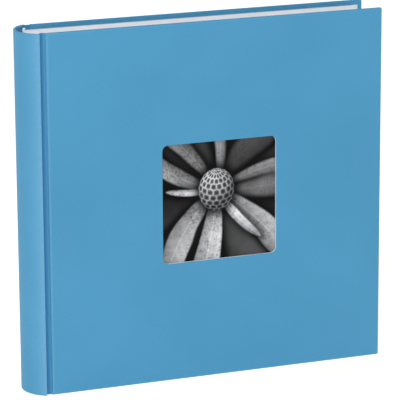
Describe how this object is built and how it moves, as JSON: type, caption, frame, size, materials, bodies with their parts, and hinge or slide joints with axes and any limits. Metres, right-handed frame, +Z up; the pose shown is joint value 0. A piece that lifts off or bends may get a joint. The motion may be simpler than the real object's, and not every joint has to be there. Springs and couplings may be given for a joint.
{
  "type": "scrapbook album",
  "caption": "Case-bound scrapbook album with a rounded spine, hinged covers, a square picture window in the front cover and hinged card leaves.",
  "frame": {"origin": "middle of the closed album's footprint, on the surface it stands on by its tail edge", "axes": "+Z up from tail to head; +X from the spine to the fore edge; the front cover faces -Y"},
  "size_m": [0.3104, 0.0454, 0.3],
  "materials": {
    "blue_covering": "matte linen-embossed covering, light blue",
    "grey_board": "pressed board, matte",
    "white_card": "smooth white album card",
    "endpaper": "smooth white endpaper",
    "photo_print": "satin black-and-white print",
    "gauze": "open cotton gauze",
    "lining_paper": "brown kraft paper",
    "band_cloth": "sewn cotton band, white"
  },
  "bodies": {
    "block": {"spine_covering": "blue_covering", "spine_stiffener": "grey_board", "front_joint_strip": "blue_covering", "back_joint_strip": "blue_covering", "binding_stubs": "white_card", "mull": "gauze", "spine_lining": "lining_paper", "headband": "band_cloth", "tailband": "band_cloth"},
    "front_cover": {"front_covering": "blue_covering", "front_board": "grey_board", "front_infill": "endpaper", "front_pastedown": "endpaper", "cover_picture": "photo_print"},
    "back_cover": {"back_covering": "blue_covering", "back_board": "grey_board", "back_infill": "endpaper", "back_pastedown": "endpaper"},
    "front_flyleaf": {"front_flyleaf": "endpaper"},
    "leaf_01": {"leaf_01": "white_card"},
    "leaf_02": {"leaf_02": "white_card"},
    "leaf_03": {"leaf_03": "white_card"},
    "leaf_04": {"leaf_04": "white_card"},
    "leaf_05": {"leaf_05": "white_card"},
    "leaf_06": {"leaf_06": "white_card"},
    "leaf_07": {"leaf_07": "white_card"},
    "leaf_08": {"leaf_08": "white_card"},
    "leaf_09": {"leaf_09": "white_card"},
    "leaf_10": {"leaf_10": "white_card"},
    "leaf_11": {"leaf_11": "white_card"},
    "leaf_12": {"leaf_12": "white_card"},
    "leaf_13": {"leaf_13": "white_card"},
    "leaf_14": {"leaf_14": "white_card"},
    "leaf_15": {"leaf_15": "white_card"},
    "leaf_16": {"leaf_16": "white_card"},
    "leaf_17": {"leaf_17": "white_card"},
    "leaf_18": {"leaf_18": "white_card"},
    "leaf_19": {"leaf_19": "white_card"},
    "leaf_20": {"leaf_20": "white_card"},
    "leaf_21": {"leaf_21": "white_card"},
    "leaf_22": {"leaf_22": "white_card"},
    "leaf_23": {"leaf_23": "white_card"},
    "leaf_24": {"leaf_24": "white_card"},
    "leaf_25": {"leaf_25": "white_card"},
    "leaf_26": {"leaf_26": "white_card"},
    "leaf_27": {"leaf_27": "white_card"},
    "leaf_28": {"leaf_28": "white_card"},
    "leaf_29": {"leaf_29": "white_card"},
    "leaf_30": {"leaf_30": "white_card"},
    "leaf_31": {"leaf_31": "white_card"},
    "leaf_32": {"leaf_32": "white_card"},
    "leaf_33": {"leaf_33": "white_card"},
    "leaf_34": {"leaf_34": "white_card"},
    "leaf_35": {"leaf_35": "white_card"},
    "leaf_36": {"leaf_36": "white_card"},
    "leaf_37": {"leaf_37": "white_card"},
    "leaf_38": {"leaf_38": "white_card"},
    "leaf_39": {"leaf_39": "white_card"},
    "leaf_40": {"leaf_40": "white_card"},
    "back_flyleaf": {"back_flyleaf": "endpaper"}
  },
  "joints": [
    {"name": "front_cover_hinge", "type": "hinge", "parent": "block", "child": "front_cover", "pos_m": [-0.1387, -0.0224, 0.15], "axis": [0, 0, -1], "range_deg": [0, 180], "deforming": ["front_joint_strip"]},
    {"name": "back_cover_hinge", "type": "hinge", "parent": "block", "child": "back_cover", "pos_m": [-0.1387, 0.0224, 0.15], "axis": [0, 0, 1], "range_deg": [0, 180], "deforming": ["back_joint_strip"]},
    {"name": "front_flyleaf_hinge", "type": "hinge", "parent": "block", "child": "front_flyleaf", "pos_m": [-0.1348, -0.0182, 0.15], "axis": [0, 0, -1], "range_deg": [0, 90.01]},
    {"name": "leaf_01_hinge", "type": "hinge", "parent": "block", "child": "leaf_01", "pos_m": [-0.1341, -0.01755, 0.15], "axis": [0, 0, -1], "range_deg": [0, 88.01]},
    {"name": "leaf_02_hinge", "type": "hinge", "parent": "block", "child": "leaf_02", "pos_m": [-0.1334, -0.01665, 0.15], "axis": [0, 0, -1], "range_deg": [0, 86.01]},
    {"name": "leaf_03_hinge", "type": "hinge", "parent": "block", "child": "leaf_03", "pos_m": [-0.1327, -0.01575, 0.15], "axis": [0, 0, -1], "range_deg": [0, 84.01]},
    {"name": "leaf_04_hinge", "type": "hinge", "parent": "block", "child": "leaf_04", "pos_m": [-0.132, -0.01485, 0.15], "axis": [0, 0, -1], "range_deg": [0, 82.01]},
    {"name": "leaf_05_hinge", "type": "hinge", "parent": "block", "child": "leaf_05", "pos_m": [-0.1313, -0.01395, 0.15], "axis": [0, 0, -1], "range_deg": [0, 80.01]},
    {"name": "leaf_06_hinge", "type": "hinge", "parent": "block", "child": "leaf_06", "pos_m": [-0.1306, -0.01305, 0.15], "axis": [0, 0, -1], "range_deg": [0, 78.01]},
    {"name": "leaf_07_hinge", "type": "hinge", "parent": "block", "child": "leaf_07", "pos_m": [-0.1299, -0.01215, 0.15], "axis": [0, 0, -1], "range_deg": [0, 76.01]},
    {"name": "leaf_08_hinge", "type": "hinge", "parent": "block", "child": "leaf_08", "pos_m": [-0.1292, -0.01125, 0.15], "axis": [0, 0, -1], "range_deg": [0, 74.01]},
    {"name": "leaf_09_hinge", "type": "hinge", "parent": "block", "child": "leaf_09", "pos_m": [-0.1285, -0.01035, 0.15], "axis": [0, 0, -1], "range_deg": [0, 72.01]},
    {"name": "leaf_10_hinge", "type": "hinge", "parent": "block", "child": "leaf_10", "pos_m": [-0.1278, -0.00945, 0.15], "axis": [0, 0, -1], "range_deg": [0, 70.01]},
    {"name": "leaf_11_hinge", "type": "hinge", "parent": "block", "child": "leaf_11", "pos_m": [-0.1271, -0.00855, 0.15], "axis": [0, 0, -1], "range_deg": [0, 68.01]},
    {"name": "leaf_12_hinge", "type": "hinge", "parent": "block", "child": "leaf_12", "pos_m": [-0.1264, -0.00765, 0.15], "axis": [0, 0, -1], "range_deg": [0, 66.01]},
    {"name": "leaf_13_hinge", "type": "hinge", "parent": "block", "child": "leaf_13", "pos_m": [-0.1257, -0.00675, 0.15], "axis": [0, 0, -1], "range_deg": [0, 64.01]},
    {"name": "leaf_14_hinge", "type": "hinge", "parent": "block", "child": "leaf_14", "pos_m": [-0.125, -0.00585, 0.15], "axis": [0, 0, -1], "range_deg": [0, 62.01]},
    {"name": "leaf_15_hinge", "type": "hinge", "parent": "block", "child": "leaf_15", "pos_m": [-0.1243, -0.00495, 0.15], "axis": [0, 0, -1], "range_deg": [0, 60.01]},
    {"name": "leaf_16_hinge", "type": "hinge", "parent": "block", "child": "leaf_16", "pos_m": [-0.1236, -0.00405, 0.15], "axis": [0, 0, -1], "range_deg": [0, 58.01]},
    {"name": "leaf_17_hinge", "type": "hinge", "parent": "block", "child": "leaf_17", "pos_m": [-0.1229, -0.00315, 0.15], "axis": [0, 0, -1], "range_deg": [0, 56.01]},
    {"name": "leaf_18_hinge", "type": "hinge", "parent": "block", "child": "leaf_18", "pos_m": [-0.1222, -0.00225, 0.15], "axis": [0, 0, -1], "range_deg": [0, 54.01]},
    {"name": "leaf_19_hinge", "type": "hinge", "parent": "block", "child": "leaf_19", "pos_m": [-0.1215, -0.00135, 0.15], "axis": [0, 0, -1], "range_deg": [0, 52.01]},
    {"name": "leaf_20_hinge", "type": "hinge", "parent": "block", "child": "leaf_20", "pos_m": [-0.1208, -0.00045, 0.15], "axis": [0, 0, -1], "range_deg": [0, 50.01]},
    {"name": "leaf_21_hinge", "type": "hinge", "parent": "block", "child": "leaf_21", "pos_m": [-0.1208, 0.00045, 0.15], "axis": [0, 0, 1], "range_deg": [0, 50.01]},
    {"name": "leaf_22_hinge", "type": "hinge", "parent": "block", "child": "leaf_22", "pos_m": [-0.1215, 0.00135, 0.15], "axis": [0, 0, 1], "range_deg": [0, 52.01]},
    {"name": "leaf_23_hinge", "type": "hinge", "parent": "block", "child": "leaf_23", "pos_m": [-0.1222, 0.00225, 0.15], "axis": [0, 0, 1], "range_deg": [0, 54.01]},
    {"name": "leaf_24_hinge", "type": "hinge", "parent": "block", "child": "leaf_24", "pos_m": [-0.1229, 0.00315, 0.15], "axis": [0, 0, 1], "range_deg": [0, 56.01]},
    {"name": "leaf_25_hinge", "type": "hinge", "parent": "block", "child": "leaf_25", "pos_m": [-0.1236, 0.00405, 0.15], "axis": [0, 0, 1], "range_deg": [0, 58.01]},
    {"name": "leaf_26_hinge", "type": "hinge", "parent": "block", "child": "leaf_26", "pos_m": [-0.1243, 0.00495, 0.15], "axis": [0, 0, 1], "range_deg": [0, 60.01]},
    {"name": "leaf_27_hinge", "type": "hinge", "parent": "block", "child": "leaf_27", "pos_m": [-0.125, 0.00585, 0.15], "axis": [0, 0, 1], "range_deg": [0, 62.01]},
    {"name": "leaf_28_hinge", "type": "hinge", "parent": "block", "child": "leaf_28", "pos_m": [-0.1257, 0.00675, 0.15], "axis": [0, 0, 1], "range_deg": [0, 64.01]},
    {"name": "leaf_29_hinge", "type": "hinge", "parent": "block", "child": "leaf_29", "pos_m": [-0.1264, 0.00765, 0.15], "axis": [0, 0, 1], "range_deg": [0, 66.01]},
    {"name": "leaf_30_hinge", "type": "hinge", "parent": "block", "child": "leaf_30", "pos_m": [-0.1271, 0.00855, 0.15], "axis": [0, 0, 1], "range_deg": [0, 68.01]},
    {"name": "leaf_31_hinge", "type": "hinge", "parent": "block", "child": "leaf_31", "pos_m": [-0.1278, 0.00945, 0.15], "axis": [0, 0, 1], "range_deg": [0, 70.01]},
    {"name": "leaf_32_hinge", "type": "hinge", "parent": "block", "child": "leaf_32", "pos_m": [-0.1285, 0.01035, 0.15], "axis": [0, 0, 1], "range_deg": [0, 72.01]},
    {"name": "leaf_33_hinge", "type": "hinge", "parent": "block", "child": "leaf_33", "pos_m": [-0.1292, 0.01125, 0.15], "axis": [0, 0, 1], "range_deg": [0, 74.01]},
    {"name": "leaf_34_hinge", "type": "hinge", "parent": "block", "child": "leaf_34", "pos_m": [-0.1299, 0.01215, 0.15], "axis": [0, 0, 1], "range_deg": [0, 76.01]},
    {"name": "leaf_35_hinge", "type": "hinge", "parent": "block", "child": "leaf_35", "pos_m": [-0.1306, 0.01305, 0.15], "axis": [0, 0, 1], "range_deg": [0, 78.01]},
    {"name": "leaf_36_hinge", "type": "hinge", "parent": "block", "child": "leaf_36", "pos_m": [-0.1313, 0.01395, 0.15], "axis": [0, 0, 1], "range_deg": [0, 80.01]},
    {"name": "leaf_37_hinge", "type": "hinge", "parent": "block", "child": "leaf_37", "pos_m": [-0.132, 0.01485, 0.15], "axis": [0, 0, 1], "range_deg": [0, 82.01]},
    {"name": "leaf_38_hinge", "type": "hinge", "parent": "block", "child": "leaf_38", "pos_m": [-0.1327, 0.01575, 0.15], "axis": [0, 0, 1], "range_deg": [0, 84.01]},
    {"name": "leaf_39_hinge", "type": "hinge", "parent": "block", "child": "leaf_39", "pos_m": [-0.1334, 0.01665, 0.15], "axis": [0, 0, 1], "range_deg": [0, 86.01]},
    {"name": "leaf_40_hinge", "type": "hinge", "parent": "block", "child": "leaf_40", "pos_m": [-0.1341, 0.01755, 0.15], "axis": [0, 0, 1], "range_deg": [0, 88.01]},
    {"name": "back_flyleaf_hinge", "type": "hinge", "parent": "block", "child": "back_flyleaf", "pos_m": [-0.1348, 0.0182, 0.15], "axis": [0, 0, 1], "range_deg": [0, 90.01]}
  ],
  "couplings": [
    {"joint": "front_flyleaf_hinge", "follows": "front_cover_hinge", "ratio": 0.5},
    {"joint": "leaf_01_hinge", "follows": "front_cover_hinge", "ratio": 0.48889},
    {"joint": "leaf_02_hinge", "follows": "front_cover_hinge", "ratio": 0.47778},
    {"joint": "leaf_03_hinge", "follows": "front_cover_hinge", "ratio": 0.46667},
    {"joint": "leaf_04_hinge", "follows": "front_cover_hinge", "ratio": 0.45556},
    {"joint": "leaf_05_hinge", "follows": "front_cover_hinge", "ratio": 0.44444},
    {"joint": "leaf_06_hinge", "follows": "front_cover_hinge", "ratio": 0.43333},
    {"joint": "leaf_07_hinge", "follows": "front_cover_hinge", "ratio": 0.42222},
    {"joint": "leaf_08_hinge", "follows": "front_cover_hinge", "ratio": 0.41111},
    {"joint": "leaf_09_hinge", "follows": "front_cover_hinge", "ratio": 0.4},
    {"joint": "leaf_10_hinge", "follows": "front_cover_hinge", "ratio": 0.38889},
    {"joint": "leaf_11_hinge", "follows": "front_cover_hinge", "ratio": 0.37778},
    {"joint": "leaf_12_hinge", "follows": "front_cover_hinge", "ratio": 0.36667},
    {"joint": "leaf_13_hinge", "follows": "front_cover_hinge", "ratio": 0.35556},
    {"joint": "leaf_14_hinge", "follows": "front_cover_hinge", "ratio": 0.34444},
    {"joint": "leaf_15_hinge", "follows": "front_cover_hinge", "ratio": 0.33333},
    {"joint": "leaf_16_hinge", "follows": "front_cover_hinge", "ratio": 0.32222},
    {"joint": "leaf_17_hinge", "follows": "front_cover_hinge", "ratio": 0.31111},
    {"joint": "leaf_18_hinge", "follows": "front_cover_hinge", "ratio": 0.3},
    {"joint": "leaf_19_hinge", "follows": "front_cover_hinge", "ratio": 0.28889},
    {"joint": "leaf_20_hinge", "follows": "front_cover_hinge", "ratio": 0.27778},
    {"joint": "leaf_21_hinge", "follows": "back_cover_hinge", "ratio": 0.27778},
    {"joint": "leaf_22_hinge", "follows": "back_cover_hinge", "ratio": 0.28889},
    {"joint": "leaf_23_hinge", "follows": "back_cover_hinge", "ratio": 0.3},
    {"joint": "leaf_24_hinge", "follows": "back_cover_hinge", "ratio": 0.31111},
    {"joint": "leaf_25_hinge", "follows": "back_cover_hinge", "ratio": 0.32222},
    {"joint": "leaf_26_hinge", "follows": "back_cover_hinge", "ratio": 0.33333},
    {"joint": "leaf_27_hinge", "follows": "back_cover_hinge", "ratio": 0.34444},
    {"joint": "leaf_28_hinge", "follows": "back_cover_hinge", "ratio": 0.35556},
    {"joint": "leaf_29_hinge", "follows": "back_cover_hinge", "ratio": 0.36667},
    {"joint": "leaf_30_hinge", "follows": "back_cover_hinge", "ratio": 0.37778},
    {"joint": "leaf_31_hinge", "follows": "back_cover_hinge", "ratio": 0.38889},
    {"joint": "leaf_32_hinge", "follows": "back_cover_hinge", "ratio": 0.4},
    {"joint": "leaf_33_hinge", "follows": "back_cover_hinge", "ratio": 0.41111},
    {"joint": "leaf_34_hinge", "follows": "back_cover_hinge", "ratio": 0.42222},
    {"joint": "leaf_35_hinge", "follows": "back_cover_hinge", "ratio": 0.43333},
    {"joint": "leaf_36_hinge", "follows": "back_cover_hinge", "ratio": 0.44444},
    {"joint": "leaf_37_hinge", "follows": "back_cover_hinge", "ratio": 0.45556},
    {"joint": "leaf_38_hinge", "follows": "back_cover_hinge", "ratio": 0.46667},
    {"joint": "leaf_39_hinge", "follows": "back_cover_hinge", "ratio": 0.47778},
    {"joint": "leaf_40_hinge", "follows": "back_cover_hinge", "ratio": 0.48889},
    {"joint": "back_flyleaf_hinge", "follows": "back_cover_hinge", "ratio": 0.5}
  ]
}
